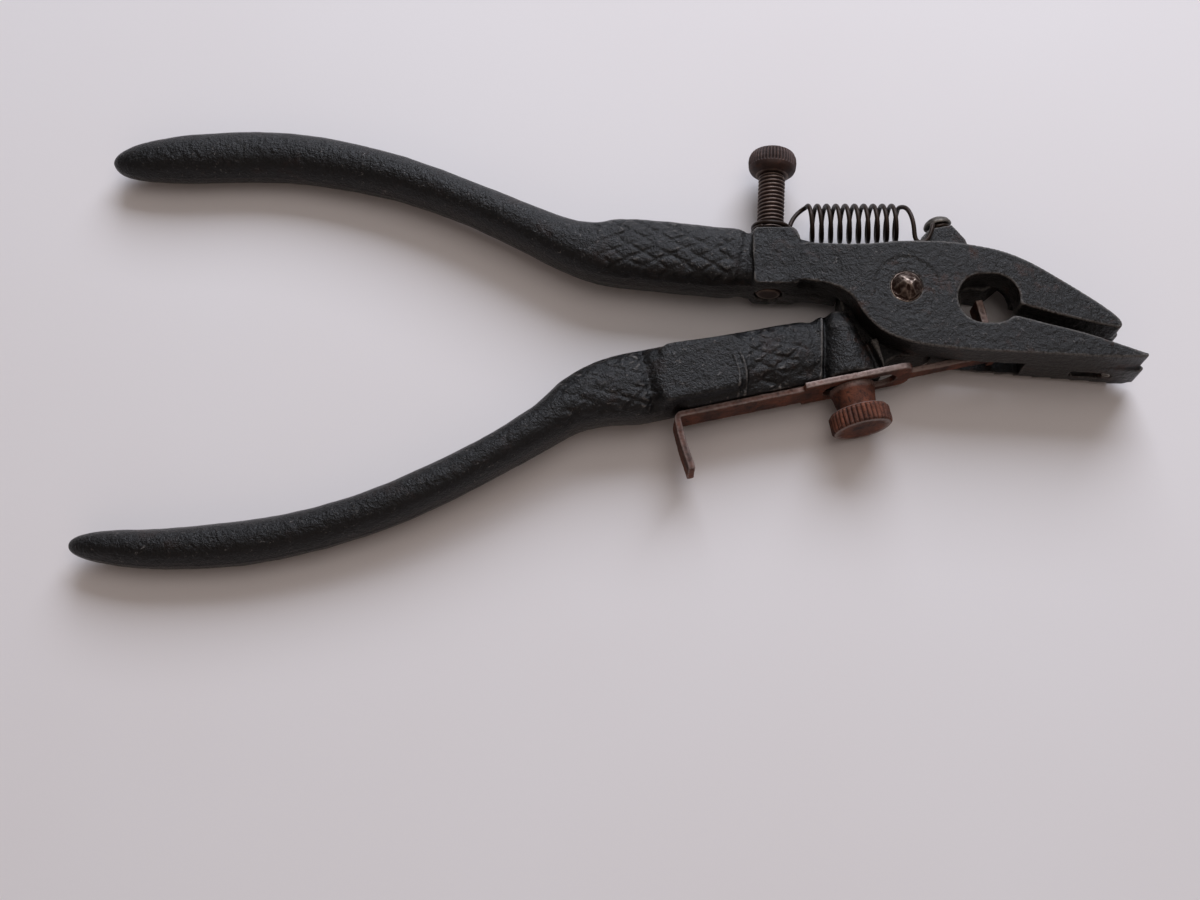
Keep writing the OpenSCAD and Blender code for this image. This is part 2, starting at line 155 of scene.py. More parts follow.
def grain(points, size, seed):
    """Smooth random values from -1 to 1 at points, with features of the given size"""
    table = np.random.default_rng(seed).uniform(-1, 1, (32, 32, 32))
    scaled = points / size
    base = np.floor(scaled).astype(int)
    t = scaled - base
    t = t * t * (3 - 2 * t)
    total = np.zeros(len(points))
    for corner in np.ndindex(2, 2, 2):
        share = np.prod(np.where(corner, t, 1 - t), axis=1)
        i, j, k = ((base + corner) % 32).T
        total += share * table[i, j, k]
    return total


def ramp(value, low, high):
    """0 below low, 1 above high, and a smooth rise between; low may be the larger"""
    t = np.clip((value - low) / (high - low), 0, 1)
    return t * t * (3 - 2 * t)


def positions(mesh):
    values = np.empty(len(mesh.vertices) * 3)
    mesh.vertices.foreach_get("co", values)
    return values.reshape(-1, 3)


def directions(mesh):
    values = np.empty(len(mesh.vertices) * 3)
    mesh.vertex_normals.foreach_get("vector", values)
    return values.reshape(-1, 3)


def neighbour_mean(mesh, values):
    """The mean of each vertex's neighbours, for values of one or more columns"""
    pairs = np.empty(len(mesh.edges) * 2, int)
    mesh.edges.foreach_get("vertices", pairs)
    a, b = pairs.reshape(-1, 2).T
    count = len(mesh.vertices)
    number = np.maximum(np.bincount(a, minlength=count) + np.bincount(b, minlength=count), 1)
    columns = [np.bincount(a, column[b], count) + np.bincount(b, column[a], count)
        for column in values.reshape(count, -1).T]
    return (np.array(columns) / number).T.reshape(values.shape)


def move(mesh, points):
    mesh.vertices.foreach_set("co", points.ravel())
    mesh.update()


def roughen(mesh, amount, size, seed):
    """Moves a mesh in and out by up to about amount, in swells of the given size"""
    points = positions(mesh)
    move(mesh, points + directions(mesh) * (amount * grain(points, size, seed))[:, None])


def soften(mesh, passes, amount):
    """Rounds a mesh off: amount is one number or one per vertex, up to 0.5 a pass"""
    points = positions(mesh)
    share = np.broadcast_to(np.asarray(amount, float).reshape(-1, 1), (len(points), 1))
    for _ in range(passes):
        points = points + share * (neighbour_mean(mesh, points) - points)
    move(mesh, points)


def mark_wear_and_painted_light(mesh, reach, sharpness, rubbed_and_highlit=0):
    """Stores as "wear" how much each place stands proud of what is round it, from 0 to 1"""
    points, normals = positions(mesh), directions(mesh)
    around = points
    for _ in range(reach):
        around = around + 0.7 * (neighbour_mean(mesh, around) - around)
    proud = np.sum((points - around) * normals, axis=1) / sharpness
    proud = 0.5 * proud + 0.5 * neighbour_mean(mesh, proud)
    # The materials paint from this both worn edges and painted light: highlights on proud edges and shade in
    # hollows
    wear_and_painted_light = mesh.attributes.new("wear_and_painted_light", "FLOAT", "POINT")
    wear_and_painted_light.data.foreach_set("value", np.clip(proud + rubbed_and_highlit, -1, 1).astype(np.float32))


def piece_from(name, mesh, body, material, node):
    """A shown piece that stands for a CAD node and rides on its body"""
    mesh.materials.clear()
    mesh.materials.append(material)
    mesh.shade_smooth()
    piece = bpy.data.objects.new(name, mesh)
    bpy.context.scene.collection.objects.link(piece)
    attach(piece, body)
    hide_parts(node)
    return piece


def fine_copy(node, voxel):
    """The CAD node's shape as an even mesh of small faces, for working in detail"""
    draft = bpy.data.objects.new("draft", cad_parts[node].data.copy())
    bpy.context.scene.collection.objects.link(draft)
    skin = draft.modifiers.new("skin", "REMESH")
    skin.mode = "VOXEL"
    skin.voxel_size = voxel
    depsgraph = bpy.context.evaluated_depsgraph_get()
    mesh = bpy.data.meshes.new_from_object(draft.evaluated_get(depsgraph))
    bpy.data.objects.remove(draft)
    return mesh


def along(points, start, end):
    """Distances along and across the line from start to end, in the plane of the board"""
    run = np.subtract(end, start)
    run = run / np.linalg.norm(run)
    offset = points[:, :2] - start
    return offset @ run, offset @ (-run[1], run[0])


def hatch(u, v, points):
    """Height of the cast diamond pattern: 0 on a diamond and -1 in the valleys between.
    Each diamond is 5.4 mm long and 2.9 mm wide, and the pattern maker cut it by hand."""
    a = u / (5.4 * MM) + v / (2.9 * MM) + 0.12 * grain(points, 3.1 * MM, 5)
    b = u / (5.4 * MM) - v / (2.9 * MM) + 0.14 * grain(points, 2.7 * MM, 6)
    near = np.minimum(abs(a - np.round(a)), abs(b - np.round(b)))
    valley = 1 - ramp(near, 0.02, 0.24)
    return -valley * (0.55 + 0.6 * grain(points, 2.4 * MM, 7)) + 0.35 * grain(points, 1.2 * MM, 8)


def cast_texture(points):
    """Sand cast skin under japan: low swells, and pits and pimples about 1 mm apart"""
    swell = 0.07 * grain(points, 6 * MM, 1) + 0.03 * grain(points, 2.2 * MM, 2)
    pimple = 0.02 * grain(points, 0.9 * MM, 3)
    return (swell + pimple) * MM


japanned_iron, tree, shader, place = finish("black_japan_on_cast_iron", Metallic=0.0,
    Specular_IOR_Level=0.34)
axes = add(tree, "ShaderNodeSeparateXYZ", {"Vector": place})
wear_and_painted_light = add(tree, "ShaderNodeAttribute", attribute_name="wear_and_painted_light").outputs["Fac"]
# The head, from about 20 mm behind the rivet forward, is handled and ground. The handles keep
# their black
head = add(tree, "ShaderNodeMapRange", {"Value": axes.outputs["X"], "From Min": -0.034, "From Max": -0.004},
    interpolation_type="SMOOTHSTEP").outputs["Result"]
blotch = add(tree, "ShaderNodeTexNoise", {"Vector": place, "Scale": 330, "Detail": 7, "Roughness": 0.75})
speck = add(tree, "ShaderNodeTexNoise", {"Vector": place, "Scale": 2300, "Detail": 3, "Roughness": 0.7})
# Thin black: the head shows grey iron through it, in blotches 3 mm across
thin = add(tree, "ShaderNodeMath", {0: head, 1: blotch.outputs["Fac"]}, operation="MULTIPLY")
thin = add(tree, "ShaderNodeMapRange", {"Value": thin.outputs[0], "From Min": 0.15, "From Max": 0.75})
base = add(tree, "ShaderNodeMix", {0: thin.outputs["Result"], 6: linear("#040405"), 7: linear("#131211")},
    data_type="RGBA")
# Proud edges go light grey: bare iron where the black is worn off, and partly a painted highlight for glints,
# broken up by the grain of the casting
rub_and_glint = add(tree, "ShaderNodeMath", {0: wear_and_painted_light, 1: speck.outputs["Fac"]}, operation="MULTIPLY")
rub_and_glint = add(tree, "ShaderNodeMapRange", {"Value": rub_and_glint.outputs[0], "From Min": 0.17, "From Max": 0.6,
    "To Max": 0.75}, interpolation_type="SMOOTHSTEP")
rubbed_and_highlit = add(tree, "ShaderNodeMix", {0: rub_and_glint.outputs["Result"], 6: base.outputs[2], 7: linear("#6a6662")},
    data_type="RGBA")
# Short bright nicks where the black has been chipped, a few tenths of a millimetre wide
chips = add(tree, "ShaderNodeTexNoise", {"Vector": place, "Scale": 1500, "Detail": 2, "Roughness": 0.5,
    "Distortion": 1.2})
chips = add(tree, "ShaderNodeMapRange", {"Value": chips.outputs["Fac"], "From Min": 0.66, "From Max": 0.74,
    "To Max": 0.55})
rubbed_and_highlit = add(tree, "ShaderNodeMix", {0: chips.outputs["Result"], 6: rubbed_and_highlit.outputs[2], 7: linear("#77726e")},
    data_type="RGBA")
# Rust has come through in places about 6 mm across, mostly on the head
rust_spread = add(tree, "ShaderNodeTexNoise", {"Vector": place, "Scale": 170, "Detail": 6, "Roughness": 0.75})
rust_place = add(tree, "ShaderNodeMapRange", {"Value": rust_spread.outputs["Fac"], "From Min": 0.55,
    "From Max": 0.7, "To Max": 0.8})
rust_head = add(tree, "ShaderNodeMapRange", {"Value": head, "To Min": 0.25})
rust_mask = add(tree, "ShaderNodeMath", {0: rust_place.outputs["Result"], 1: rust_head.outputs["Result"]},
    operation="MULTIPLY").outputs[0]
rusted = add(tree, "ShaderNodeMix", {0: rust_mask, 6: rubbed_and_highlit.outputs[2], 7: linear("#3f261c")},
    data_type="RGBA")
tree.links.new(rusted.outputs[2], shader.inputs["Base Color"])
# Baked japan is glossy where it is whole and dull where it is thin
dull = add(tree, "ShaderNodeMapRange", {"Value": head, "To Min": 0.36, "To Max": 0.42})
dull = add(tree, "ShaderNodeMath", {0: dull.outputs["Result"], 1: rust_mask}, operation="MAXIMUM")
spread = add(tree, "ShaderNodeMapRange", {"Value": speck.outputs["Fac"], "To Min": -0.1, "To Max": 0.1})
dull = add(tree, "ShaderNodeMath", {0: dull.outputs[0], 1: spread.outputs["Result"]}, operation="ADD")
tree.links.new(dull.outputs[0], shader.inputs["Roughness"])
# Grain of the iron, about 0.4 mm across. On the front of the head there are also the cutter's
# faint rings, within 9 mm of the pivot, and upright nicks 0.7 mm apart on the jaws
off_pivot = add(tree, "ShaderNodeVectorMath", {0: place}, operation="MULTIPLY")
off_pivot.inputs[1].default_value = (1, 1, 0)
radius = add(tree, "ShaderNodeVectorMath", {0: off_pivot.outputs[0]}, operation="LENGTH").outputs["Value"]
rings = add(tree, "ShaderNodeMath", {0: radius, 1: 5200}, operation="MULTIPLY")
rings = add(tree, "ShaderNodeMath", {0: rings.outputs[0]}, operation="SINE")
ring_part = add(tree, "ShaderNodeMapRange", {"Value": radius, "From Min": 0.0095, "From Max": 0.0075,
    "To Max": 0.05})
rings = add(tree, "ShaderNodeMath", {0: rings.outputs[0], 1: ring_part.outputs["Result"]},
    operation="MULTIPLY")
upright = add(tree, "ShaderNodeMapping", {"Vector": place, "Scale": (1500, 170, 170)})
nicks = add(tree, "ShaderNodeTexNoise", {"Vector": upright.outputs["Vector"], "Scale": 1, "Detail": 3,
    "Roughness": 0.65})
nick_part = add(tree, "ShaderNodeMapRange", {"Value": axes.outputs["X"], "From Min": 0.015,
    "From Max": 0.024})
nicks = add(tree, "ShaderNodeMath", {0: nicks.outputs["Fac"], 1: nick_part.outputs["Result"]},
    operation="MULTIPLY")
height = add(tree, "ShaderNodeMath", {0: speck.outputs["Fac"], 1: rings.outputs[0]}, operation="ADD")
height = add(tree, "ShaderNodeMath", {0: height.outputs[0], 1: nicks.outputs[0]}, operation="ADD")
lumps = add(tree, "ShaderNodeTexNoise", {"Vector": place, "Scale": 750, "Detail": 3, "Roughness": 0.6})
height = add(tree, "ShaderNodeMath", {0: lumps.outputs["Fac"], 1: 1.6, 2: height.outputs[0]},
    operation="MULTIPLY_ADD")
bump = add(tree, "ShaderNodeBump", {"Height": height.outputs[0], "Strength": 1.0, "Distance": 0.00022})
tree.links.new(bump.outputs["Normal"], shader.inputs["Normal"])

mesh = fine_copy("frame_lever", VOXEL)
points = positions(mesh)
# Round the handle off well, its grip and boss less, and keep the head's edges
handle_part = ramp(points[:, 0], -56 * MM, -64 * MM)
grip_part = ramp(points[:, 0], -29 * MM, -34 * MM)
soften(mesh, 30, 0.035 + 0.12 * grip_part + 0.33 * handle_part)
points, normals = positions(mesh), directions(mesh)
u, v = along(points, (-57 * MM, 10 * MM), (-31 * MM, 7.8 * MM))
facing = ramp(abs(normals[:, 2]), 0.25, 0.6)
grip = ramp(u, -4 * MM, 1 * MM) * ramp(u, 26 * MM, 24.5 * MM) * facing
raise_by = cast_texture(points) * (0.35 + 0.65 * ramp(points[:, 0], 0, -20 * MM))
# The arm between the head and the boss was left as cast, and is lumpy
arm = ramp(points[:, 0], -9 * MM, -14 * MM) * ramp(points[:, 0], -31 * MM, -28 * MM)
raise_by += MM * arm * (0.16 * grain(points, 4 * MM, 10) + 0.08 * grain(points, 1.4 * MM, 11))
raise_by += 0.28 * MM * grip * hatch(u, v, points)
# Flash left where the two halves of the mould met, half way up the sides
PARTING = 6 * MM
FLASH_HALF = 0.35 * MM
flash = np.exp(-((points[:, 2] - PARTING) / FLASH_HALF) ** 2) * ramp(abs(normals[:, 2]), 0.5, 0.2)
raise_by += 0.13 * MM * flash * handle_part * (0.6 + 0.4 * grain(points, 3 * MM, 9))
points = points + normals * raise_by[:, None]
points[:, 2] = np.maximum(points[:, 2], 0)
move(mesh, points)
mark_wear_and_painted_light(mesh, 6, 0.1 * MM)
piece_from("frame_lever_casting", mesh, "frame", japanned_iron, "frame_lever")

# ---- Setting lever ----
# The second casting, behind the front plate: a disc on the pivot, a jaw that carries the
# punch, and a handle whose grip has a smooth thumb pad between two patches of diamonds.

mesh = fine_copy("setting_lever", VOXEL)
points = positions(mesh)
handle_part = ramp(points[:, 0], -60 * MM, -68 * MM)
rounded = ramp(points[:, 0], -5 * MM, -8 * MM) * ramp(points[:, 1], -2 * MM, -4 * MM)
soften(mesh, 40, 0.03 + 0.33 * rounded + 0.1 * handle_part)
points, normals = positions(mesh), directions(mesh)
u, v = along(points, (-62 * MM, -21 * MM), (-18 * MM, -10.8 * MM))
facing = ramp(abs(normals[:, 2]), 0.25, 0.6)
left_patch = ramp(u, -6 * MM, 0) * ramp(u, 16 * MM, 14 * MM)
right_patch = ramp(u, 33 * MM, 34.5 * MM) * ramp(u, 45 * MM, 43.5 * MM)
raise_by = cast_texture(points) * (0.5 + 0.5 * ramp(points[:, 0], 0, -20 * MM))
raise_by += 0.3 * MM * facing * (left_patch + right_patch) * hatch(u, v, points)
raise_by += 0.16 * MM * facing * right_patch * grain(points, 1.7 * MM, 12)
# The shoulder is rounded like a barrel between the groove and its slanting end
slant = -10.3 * MM + 0.387 * (-3.9 * MM - points[:, 1])
across = (points[:, 0] * 2 - slant + 14.8 * MM) / (slant + 14.8 * MM)
shoulder = ramp(points[:, 2], 8.5 * MM, 11.5 * MM) * ramp(across, -1.3, -1.05) * ramp(across, 1.6, 1.3)
drop = 1.5 * np.minimum(across ** 2, 1.3) + 1.1 * ramp(points[:, 1], -7 * MM, -3 * MM)
raise_by += MM * shoulder * 0.12 * grain(points, 2 * MM, 14)
# A deep step before the pad, and two raised lines at its far end
front = ramp(normals[:, 2], 0.2, 0.6)
raise_by -= 0.7 * MM * front * np.exp(-((u - 14.4 * MM) / (1.1 * MM)) ** 2)
bow = u + 0.045 * (v / MM + 1) ** 2 * MM
for place_u, height in ((31.0, 0.22), (32.3, 0.28)):
    ridge = front * ramp(v, 3.5 * MM, 0) * np.exp(-((bow - place_u * MM) / (0.28 * MM)) ** 2)
    raise_by += height * MM * ridge
flash = np.exp(-((points[:, 2] - PARTING) / FLASH_HALF) ** 2) * ramp(abs(normals[:, 2]), 0.5, 0.2)
raise_by += 0.16 * MM * flash * handle_part * (0.6 + 0.4 * grain(points, 2.4 * MM, 13))
points = points + normals * raise_by[:, None]
points[:, 2] -= MM * shoulder * drop
points[:, 2] = np.maximum(points[:, 2], 0)
move(mesh, points)
# The grip's end, beside the groove, is out of the hand's way and keeps its black
groove_side = np.exp(-((points[:, 0] + 18 * MM) / (1.6 * MM)) ** 2) * ramp(points[:, 1], -1 * MM, -3 * MM)
mark_wear_and_painted_light(mesh, 6, 0.1 * MM, -1.2 * groove_side)
piece_from("setting_lever_casting", mesh, "setting", japanned_iron, "setting_lever")

# ---- Pivot rivet ----
# A soft steel rivet, headed over cold with a ball hammer, which left flats on the dome.
# Its steel is brown where hands don't reach and bright on the flats.

rivet_steel, tree, shader, place = finish("hammered_rivet_steel", Metallic=0.85)
wear_and_painted_light = add(tree, "ShaderNodeAttribute", attribute_name="wear_and_painted_light").outputs["Fac"]
stain = add(tree, "ShaderNodeTexNoise", {"Vector": place, "Scale": 700, "Detail": 5, "Roughness": 0.7})
bright = add(tree, "ShaderNodeMath", {0: wear_and_painted_light, 1: stain.outputs["Fac"]}, operation="ADD")
bright = add(tree, "ShaderNodeMapRange", {"Value": bright.outputs[0], "From Min": 0.45, "From Max": 1.0})
colour = add(tree, "ShaderNodeMix", {0: bright.outputs["Result"], 6: linear("#33231c"), 7: linear("#a39489")},
    data_type="RGBA")
tree.links.new(colour.outputs[2], shader.inputs["Base Color"])
dull = add(tree, "ShaderNodeMapRange", {"Value": bright.outputs["Result"], "To Min": 0.62, "To Max": 0.34})
tree.links.new(dull.outputs["Result"], shader.inputs["Roughness"])
bump = add(tree, "ShaderNodeBump", {"Height": stain.outputs["Fac"], "Strength": 0.6, "Distance": 0.00012})
tree.links.new(bump.outputs["Normal"], shader.inputs["Normal"])

FINE = 0.14 * MM
mesh = fine_copy("pivot_rivet", FINE)
soften(mesh, 6, 0.4)
points = positions(mesh)
blows = np.random.default_rng(21)
for _ in range(13):
    turn, tilt = blows.uniform(0, 2 * math.pi), math.radians(blows.uniform(28, 60))
    way = np.array([math.sin(tilt) * math.cos(turn), math.sin(tilt) * math.sin(turn), math.cos(tilt)])
    heights = (points - (0, 0, 14.5 * MM)) @ way
    dome = points[:, 2] > 14.75 * MM
    flat = heights[dome].max() * blows.uniform(0.78, 0.95)
    over = np.where(dome, np.maximum(heights - flat, 0), 0)
    points = points - over[:, None] * way
move(mesh, points + directions(mesh) * (0.12 * MM * grain(points, 0.9 * MM, 22))[:, None])
points = positions(mesh)
points[:, 2] = np.maximum(points[:, 2], 0)
move(mesh, points)
mark_wear_and_painted_light(mesh, 5, 0.08 * MM)
piece_from("pivot_rivet_headed", mesh, "frame", rivet_steel, "pivot_rivet")

# ---- Anvil, its rivets, the punch and its pin ----
# The working pieces are hardened tool steel, ground and then greyed by use: a plate let
# into the anvil jaw and held by two rivets, and a punch pinned in the setting jaw.

tool_steel, tree, shader, place = finish("ground_tool_steel", Metallic=0.9)
wear_and_painted_light = add(tree, "ShaderNodeAttribute", attribute_name="wear_and_painted_light").outputs["Fac"]
cloud = add(tree, "ShaderNodeTexNoise", {"Vector": place, "Scale": 500, "Detail": 5})
tone = add(tree, "ShaderNodeMath", {0: cloud.outputs["Fac"], 1: wear_and_painted_light}, operation="ADD")
tone = add(tree, "ShaderNodeMapRange", {"Value": tone.outputs[0], "From Min": 0.3, "From Max": 0.9})
colour = add(tree, "ShaderNodeMix", {0: tone.outputs["Result"], 6: linear("#4b4643"), 7: linear("#9b9791")},
    data_type="RGBA")
tree.links.new(colour.outputs[2], shader.inputs["Base Color"])
dull = add(tree, "ShaderNodeMapRange", {"Value": cloud.outputs["Fac"], "To Min": 0.5, "To Max": 0.32})
tree.links.new(dull.outputs["Result"], shader.inputs["Roughness"])
# Grinding lines 0.15 mm apart, drawn as noise squeezed along X
squeeze = add(tree, "ShaderNodeMapping", {"Vector": place, "Scale": (6500, 300, 300)})
lines = add(tree, "ShaderNodeTexNoise", {"Vector": squeeze.outputs["Vector"], "Scale": 1, "Detail": 2})
bump = add(tree, "ShaderNodeBump", {"Height": lines.outputs["Fac"], "Strength": 0.35, "Distance": 0.00004})
tree.links.new(bump.outputs["Normal"], shader.inputs["Normal"])

for name, node, body, seed in [
        ("anvil_plate_ground", "anvil_plate", "frame", 31),
        ("anvil_rivets_filed", "anvil_rivets", "frame", 32),
        ("punch_ground", "setting_punch", "setting", 33),
        ("punch_cross_pin", "punch_pin", "setting", 34)]:
    mesh = fine_copy(node, 0.12 * MM)
    soften(mesh, 4, 0.35)
    roughen(mesh, 0.015 * MM, 0.6 * MM, seed)
    mark_wear_and_painted_light(mesh, 4, 0.05 * MM)
    piece_from(name, mesh, body, tool_steel, node)

# ---- Stop screw ----
# A mild steel screw turned from bar, 5.2 mm across with a thread of 0.8 mm pitch. Its brown
# rust is worn back to steel on the crests of the thread.

rusted_steel, tree, shader, place = finish("brown_rusted_steel")
wear_and_painted_light = add(tree, "ShaderNodeAttribute", attribute_name="wear_and_painted_light").outputs["Fac"]
scale_noise = add(tree, "ShaderNodeTexNoise", {"Vector": place, "Scale": 900, "Detail": 6, "Roughness": 0.7})
broad = add(tree, "ShaderNodeTexNoise", {"Vector": place, "Scale": 240, "Detail": 3})
skin = add(tree, "ShaderNodeMix", {0: broad.outputs["Fac"], 6: linear("#1d120e"), 7: linear("#47302a")},
    data_type="RGBA")
spots = add(tree, "ShaderNodeMapRange", {"Value": scale_noise.outputs["Fac"], "From Min": 0.52,
    "From Max": 0.7, "To Max": 0.7})
skin = add(tree, "ShaderNodeMix", {0: spots.outputs["Result"], 6: skin.outputs[2], 7: linear("#56372a")},
    data_type="RGBA")
# Painted shade: hollows between the thread's crests and between the knurl's teeth are painted near black
painted_crevice_shade = add(tree, "ShaderNodeMapRange", {"Value": wear_and_painted_light, "From Min": 0.05, "From Max": -0.5, "To Max": 0.85})
skin = add(tree, "ShaderNodeMix", {0: painted_crevice_shade.outputs["Result"], 6: skin.outputs[2], 7: linear("#120b09")},
    data_type="RGBA")
crest = add(tree, "ShaderNodeMath", {0: wear_and_painted_light, 1: scale_noise.outputs["Fac"]}, operation="MULTIPLY")
crest = add(tree, "ShaderNodeMapRange", {"Value": crest.outputs[0], "From Min": 0.1, "From Max": 0.42,
    "To Max": 0.7})
colour = add(tree, "ShaderNodeMix", {0: crest.outputs["Result"], 6: skin.outputs[2], 7: linear("#8d7d74")},
    data_type="RGBA")
tree.links.new(colour.outputs[2], shader.inputs["Base Color"])
bare = add(tree, "ShaderNodeMapRange", {"Value": crest.outputs["Result"], "To Min": 0.2, "To Max": 0.85})
tree.links.new(bare.outputs["Result"], shader.inputs["Metallic"])
dull = add(tree, "ShaderNodeMapRange", {"Value": crest.outputs["Result"], "To Min": 0.62, "To Max": 0.4})
tree.links.new(dull.outputs["Result"], shader.inputs["Roughness"])
bump = add(tree, "ShaderNodeBump", {"Height": scale_noise.outputs["Fac"], "Strength": 0.6,
    "Distance": 0.00008})
tree.links.new(bump.outputs["Normal"], shader.inputs["Normal"])

PITCH = 0.8 * MM
STEM_RADIUS = 2.6 * MM
THREAD_DEPTH = 0.42 * MM
STOP_REACH = 12.4       # mm of stem each way from the top face of the boss; the knob starts there
STOP_LEAN = 3.5         # degrees towards the jaws


def ring_faces(rings, sides, closed=False):
    """Faces between one ring of points and the next, and back to the first if closed"""
    return [(r * sides + i, r * sides + (i + 1) % sides, (r + 1) % rings * sides + (i + 1) % sides,
        (r + 1) % rings * sides + i) for r in range(rings if closed else rings - 1) for i in range(sides)]


def turned(heights, radii, at):
    """A closed turned shape: one ring of points at each height, radii[ring][side]"""
    heights = np.concatenate([[heights[0]] * 2, heights, [heights[-1]] * 2])
    radii = np.vstack([0.4 * radii[0], 0.8 * radii[0], radii, 0.8 * radii[-1], 0.4 * radii[-1]])
    sides = radii.shape[1]
    turn = np.arange(sides) * 2 * math.pi / sides
    rings = np.stack([radii * np.cos(turn), radii * np.sin(turn),
        np.broadcast_to(heights[:, None], radii.shape)], axis=-1).reshape(-1, 3)
    last = len(heights) - 1
    points = np.vstack([rings, [[0, 0, heights[0]], [0, 0, heights[-1]]]])
    faces = ring_faces(last + 1, sides)
    faces += [(len(rings), (i + 1) % sides, i) for i in range(sides)]
    faces += [(len(rings) + 1, last * sides + i, last * sides + (i + 1) % sides) for i in range(sides)]
    mesh = bpy.data.meshes.new("turned")
    mesh.from_pydata(points.tolist(), [], faces)
    mesh.transform(at)
    return mesh


def thread(low, high, outer, depth, sides=48):
    """Heights and radii of a threaded rod with a lead-in at each end"""
    heights = np.arange(low, high + 0.01 * MM, 0.08 * MM)
    share = np.arange(sides) / sides
    phase = heights[:, None] / PITCH - share[None, :]
    saw = abs(phase - np.floor(phase) - 0.5) * 2
    cut = depth * ramp(saw, 0.15, 0.85)
    lead_in = np.minimum(heights - low, high - heights)[:, None]
    return heights, outer - np.maximum(cut, 0.5 * MM - np.minimum(lead_in, 0.5 * MM))


stop_axis = (Matrix.Translation((-24.3 * MM, 13.8 * MM, 7.2 * MM))
    @ Matrix.Rotation(math.radians(-STOP_LEAN), 4, "Z") @ Matrix.Rotation(math.radians(-90), 4, "X"))
heights, radii = thread(-STOP_REACH * MM, STOP_REACH * MM, STEM_RADIUS, THREAD_DEPTH)
mesh = turned(heights, radii, stop_axis)
roughen(mesh, 0.025 * MM, 0.5 * MM, 41)
mark_wear_and_painted_light(mesh, 3, 0.06 * MM)
piece_from("stop_screw_threaded", mesh, "stop_stem", rusted_steel, "stop_screw")

# ---- Stop screw's knob ----
# Turned on the same bar: a rounded head, straight knurled round its outer half so that
# fingers can turn it.

KNURL = 8


def knurled(profile, teeth, depth, low, high, at):
    """A turned knob from (height, radius) pairs, with straight teeth between low and high"""
    heights = np.arange(profile[0][0], profile[-1][0] + 1e-9, 0.1 * MM)
    outline = np.interp(heights, *np.array(profile).T)
    outline = np.convolve(np.pad(outline, 2, mode="edge"), [0.1, 0.2, 0.4, 0.2, 0.1], "valid")
    tooth = np.abs(np.sin(np.arange(teeth * KNURL) * math.pi / KNURL))
    band = ramp(heights, low, low + 0.3 * MM) * ramp(heights, high, high - 0.3 * MM)
    return turned(heights, outline[:, None] - depth * band[:, None] * (1 - tooth)[None, :] ** 1.5, at)


knob = [(0.05, 3.0), (0.35, 3.6), (0.9, 4.25), (1.6, 4.58), (2.6, 4.68), (3.6, 4.6), (4.5, 4.2), (5.0, 3.5),
    (5.3, 2.5), (5.42, 1.4)]
knob = [((STOP_REACH + h) * MM, r * MM) for h, r in knob]
mesh = knurled(knob, 42, 0.4 * MM, 14 * MM, 17.4 * MM, stop_axis)
roughen(mesh, 0.03 * MM, 0.8 * MM, 42)
mark_wear_and_painted_light(mesh, 2, 0.07 * MM)
piece_from("stop_knob_knurled", mesh, "stop_knob", rusted_steel, "stop_knob")

# ---- Spring screw ----
# A short round-headed screw with a sawn slot, which holds the spring's hooked end to the
# lug of the setting lever.

dark_steel, tree, shader, place = finish("dark_screw_steel", Metallic=0.6)
wear_and_painted_light = add(tree, "ShaderNodeAttribute", attribute_name="wear_and_painted_light").outputs["Fac"]
film = add(tree, "ShaderNodeTexNoise", {"Vector": place, "Scale": 800, "Detail": 5, "Roughness": 0.7})
tone = add(tree, "ShaderNodeMath", {0: film.outputs["Fac"], 1: wear_and_painted_light}, operation="ADD")
tone = add(tree, "ShaderNodeMapRange", {"Value": tone.outputs[0], "From Min": 0.35, "From Max": 1.0})
colour = add(tree, "ShaderNodeMix", {0: tone.outputs["Result"], 6: linear("#2b2725"), 7: linear("#807a72")},
    data_type="RGBA")
tree.links.new(colour.outputs[2], shader.inputs["Base Color"])
dull = add(tree, "ShaderNodeMapRange", {"Value": film.outputs["Fac"], "To Min": 0.6, "To Max": 0.4})
tree.links.new(dull.outputs["Result"], shader.inputs["Roughness"])
bump = add(tree, "ShaderNodeBump", {"Height": film.outputs["Fac"], "Strength": 0.5, "Distance": 0.00008})
tree.links.new(bump.outputs["Normal"], shader.inputs["Normal"])

mesh = fine_copy("spring_screw", 0.11 * MM)
soften(mesh, 5, 0.35)
roughen(mesh, 0.05 * MM, 0.8 * MM, 51)
mark_wear_and_painted_light(mesh, 4, 0.06 * MM)
piece_from("spring_screw_slotted", mesh, "setting", dark_steel, "spring_screw")

# ---- Return spring ----
# Ten turns of 0.88 mm hard-drawn wire between an eye round the stop screw and a hook round
# the spring screw, oiled and gone dark. On the tool it stretches when the lever closes; here it is one fixed
# mesh.

spring_wire, tree, shader, place = finish("oiled_spring_wire", Metallic=0.35,
    Specular_IOR_Level=0.3)
film = add(tree, "ShaderNodeTexNoise", {"Vector": place, "Scale": 420, "Detail": 5, "Roughness": 0.7})
colour = add(tree, "ShaderNodeMix", {0: film.outputs["Fac"], 6: linear("#15100e"), 7: linear("#38291f")},
    data_type="RGBA")
tree.links.new(colour.outputs[2], shader.inputs["Base Color"])
dull = add(tree, "ShaderNodeMapRange", {"Value": film.outputs["Fac"], "To Min": 0.5, "To Max": 0.34})
tree.links.new(dull.outputs["Result"], shader.inputs["Roughness"])
draw = add(tree, "ShaderNodeTexNoise", {"Vector": place, "Scale": 3000, "Detail": 3})
bump = add(tree, "ShaderNodeBump", {"Height": draw.outputs["Fac"], "Strength": 0.3, "Distance": 0.00004})
tree.links.new(bump.outputs["Normal"], shader.inputs["Normal"])

TURNS = 10
TURN_PITCH = 1.79
COIL_RADIUS = 3.5
WIRE_RADIUS = 0.44 * MM


